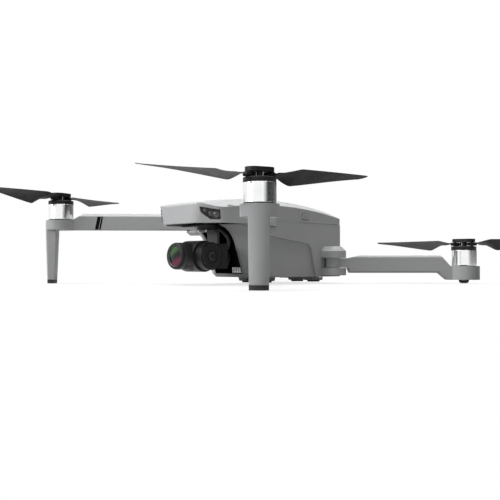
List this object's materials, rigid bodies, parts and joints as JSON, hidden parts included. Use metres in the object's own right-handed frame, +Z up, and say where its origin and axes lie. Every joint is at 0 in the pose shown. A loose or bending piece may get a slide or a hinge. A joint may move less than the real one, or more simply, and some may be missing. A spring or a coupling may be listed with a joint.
{
  "type": "quadcopter drone",
  "caption": "Folding camera quadcopter in grey with two-blade folding rotors, hinged arms, front landing legs, a slide-in battery and a stabilised camera under the nose.",
  "frame": {"origin": "centre of the bounding box on the ground plane under the leg pads", "axes": "+Z up, nose towards -Y, the aircraft's left side towards +X"},
  "size_m": [0.3918, 0.337, 0.0754],
  "materials": {
    "shell": "satin light grey paint",
    "arm": "satin mid grey",
    "black": "matte black",
    "dark": "satin dark grey",
    "bracket": "satin grey",
    "gloss": "gloss black window",
    "rubber": "matte black rubber",
    "can": "machined",
    "pin": "ground",
    "copper": "enamelled windings",
    "heat_sink": "cast",
    "board": "solder mask",
    "cell": "foil wrap",
    "ceramic": "ceramic patch",
    "red": "red lamp cover",
    "indicator": "clear lamp",
    "lens": "coated"
  },
  "bodies": {
    "airframe": {"lower_shell": "shell", "upper_shell": "shell", "bay_liner": "black", "belly_cover": "shell", "headlamp_left": "gloss", "headlamp_right": "gloss", "belly_feet": "rubber", "flow_sensor": "gloss", "main_board": "board", "gps_module": "ceramic", "tail_lamp": "red", "shell_screws": "pin", "heat_sink": "heat_sink", "arm_hinge_pins": "pin", "gimbal_mount": "dark", "damper_balls": "rubber", "yaw_motor": "dark"},
    "battery": {"battery_case": "shell", "battery_cells": "cell", "charge_lights": "indicator"},
    "battery_button": {"power_button": "dark"},
    "battery_latch_left": {"latch_left": "shell"},
    "battery_latch_right": {"latch_right": "shell"},
    "gimbal_yaw": {"yaw_arm": "bracket", "roll_motor": "dark"},
    "gimbal_roll": {"roll_arm": "dark", "pitch_motor": "dark"},
    "camera": {"camera_body": "dark", "lens_ring": "black", "lens_glass": "lens"},
    "front_arm_left": {"arm_front_left": "arm", "leg_pad_left": "rubber", "motor_front_left": "copper"},
    "rear_arm_left": {"arm_rear_left": "arm", "rear_pad_left": "rubber", "motor_rear_left": "copper"},
    "front_arm_right": {"arm_front_right": "arm", "leg_pad_right": "rubber", "motor_front_right": "copper"},
    "rear_arm_right": {"arm_rear_right": "arm", "rear_pad_right": "rubber", "motor_rear_right": "copper"},
    "rotor_front_left": {"bell_front_left": "can", "hub_front_left": "black"},
    "rotor_blade_front_left_a": {"blade_front_left_a": "black"},
    "rotor_blade_front_left_b": {"blade_front_left_b": "black"},
    "rotor_front_right": {"bell_front_right": "can", "hub_front_right": "black"},
    "rotor_blade_front_right_a": {"blade_front_right_a": "black"},
    "rotor_blade_front_right_b": {"blade_front_right_b": "black"},
    "rotor_rear_left": {"bell_rear_left": "can", "hub_rear_left": "black"},
    "rotor_blade_rear_left_a": {"blade_rear_left_a": "black"},
    "rotor_blade_rear_left_b": {"blade_rear_left_b": "black"},
    "rotor_rear_right": {"bell_rear_right": "can", "hub_rear_right": "black"},
    "rotor_blade_rear_right_a": {"blade_rear_right_a": "black"},
    "rotor_blade_rear_right_b": {"blade_rear_right_b": "black"}
  },
  "joints": [
    {"name": "fold_front_arm_left", "type": "hinge", "parent": "airframe", "child": "front_arm_left", "pos_m": [0.0435, -0.0094, 0.05135], "axis": [0, 0, 1], "range_deg": [0, 112]},
    {"name": "fold_rear_arm_left", "type": "hinge", "parent": "airframe", "child": "rear_arm_left", "pos_m": [0.0435, 0.0706, 0.017], "axis": [0, 0, -1], "range_deg": [0, 136]},
    {"name": "fold_front_arm_right", "type": "hinge", "parent": "airframe", "child": "front_arm_right", "pos_m": [-0.0435, -0.0094, 0.05135], "axis": [0, 0, -1], "range_deg": [0, 112]},
    {"name": "fold_rear_arm_right", "type": "hinge", "parent": "airframe", "child": "rear_arm_right", "pos_m": [-0.0435, 0.0706, 0.017], "axis": [0, 0, 1], "range_deg": [0, 136]},
    {"name": "spin_front_left", "type": "hinge", "parent": "front_arm_left", "child": "rotor_front_left", "pos_m": [0.118, -0.0934, 0.0594], "axis": [0, 0, 1], "continuous": true},
    {"name": "fold_blade_front_left_a", "type": "hinge", "parent": "rotor_front_left", "child": "rotor_blade_front_left_a", "pos_m": [0.12036, -0.0866, 0.071], "axis": [0, 0, 1], "range_deg": [-10, 80]},
    {"name": "fold_blade_front_left_b", "type": "hinge", "parent": "rotor_front_left", "child": "rotor_blade_front_left_b", "pos_m": [0.11564, -0.1002, 0.071], "axis": [0, 0, -1], "range_deg": [-10, 80]},
    {"name": "spin_front_right", "type": "hinge", "parent": "front_arm_right", "child": "rotor_front_right", "pos_m": [-0.118, -0.0934, 0.0594], "axis": [0, 0, 1], "continuous": true},
    {"name": "fold_blade_front_right_a", "type": "hinge", "parent": "rotor_front_right", "child": "rotor_blade_front_right_a", "pos_m": [-0.12036, -0.0866, 0.071], "axis": [0, 0, -1], "range_deg": [-10, 80]},
    {"name": "fold_blade_front_right_b", "type": "hinge", "parent": "rotor_front_right", "child": "rotor_blade_front_right_b", "pos_m": [-0.11564, -0.1002, 0.071], "axis": [0, 0, 1], "range_deg": [-10, 80]},
    {"name": "spin_rear_left", "type": "hinge", "parent": "rear_arm_left", "child": "rotor_rear_left", "pos_m": [0.118, 0.1502, 0.0212], "axis": [0, 0, 1], "continuous": true},
    {"name": "fold_blade_rear_left_a", "type": "hinge", "parent": "rotor_rear_left", "child": "rotor_blade_rear_left_a", "pos_m": [0.12507, 0.15155, 0.0328], "axis": [0, 0, -1], "range_deg": [-10, 80]},
    {"name": "fold_blade_rear_left_b", "type": "hinge", "parent": "rotor_rear_left", "child": "rotor_blade_rear_left_b", "pos_m": [0.11093, 0.14885, 0.0328], "axis": [0, 0, 1], "range_deg": [-10, 80]},
    {"name": "spin_rear_right", "type": "hinge", "parent": "rear_arm_right", "child": "rotor_rear_right", "pos_m": [-0.118, 0.1502, 0.0212], "axis": [0, 0, 1], "continuous": true},
    {"name": "fold_blade_rear_right_a", "type": "hinge", "parent": "rotor_rear_right", "child": "rotor_blade_rear_right_a", "pos_m": [-0.12507, 0.15155, 0.0328], "axis": [0, 0, 1], "range_deg": [-10, 80]},
    {"name": "fold_blade_rear_right_b", "type": "hinge", "parent": "rotor_rear_right", "child": "rotor_blade_rear_right_b", "pos_m": [-0.11093, 0.14885, 0.0328], "axis": [0, 0, -1], "range_deg": [-10, 80]},
    {"name": "gimbal_yaw_axis", "type": "hinge", "parent": "airframe", "child": "gimbal_yaw", "pos_m": [0, -0.0324, 0.0448], "axis": [0, 0, 1], "range_deg": [-15, 15]},
    {"name": "gimbal_roll_axis", "type": "hinge", "parent": "gimbal_yaw", "child": "gimbal_roll", "pos_m": [0, -0.0264, 0.022], "axis": [0, 1, 0], "range_deg": [-30, 30]},
    {"name": "gimbal_pitch_axis", "type": "hinge", "parent": "gimbal_roll", "child": "camera", "pos_m": [0.0128, -0.0444, 0.022], "axis": [-1, 0, 0], "range_deg": [-90, 30]},
    {"name": "battery_slide", "type": "slide", "parent": "airframe", "child": "battery", "axis": [0, 1, 0], "range_m": [0, 0.1]},
    {"name": "press_power_button", "type": "slide", "parent": "battery", "child": "battery_button", "axis": [0, 0, -1], "range_m": [0, 0.001], "stiffness_N_per_m": 400, "springref_m": -0.0005},
    {"name": "press_latch_left", "type": "slide", "parent": "battery", "child": "battery_latch_left", "axis": [-1, 0, 0], "range_m": [0, 0.0012], "stiffness_N_per_m": 400, "springref_m": -0.0005},
    {"name": "press_latch_right", "type": "slide", "parent": "battery", "child": "battery_latch_right", "axis": [1, 0, 0], "range_m": [0, 0.0012], "stiffness_N_per_m": 400, "springref_m": -0.0005}
  ]
}
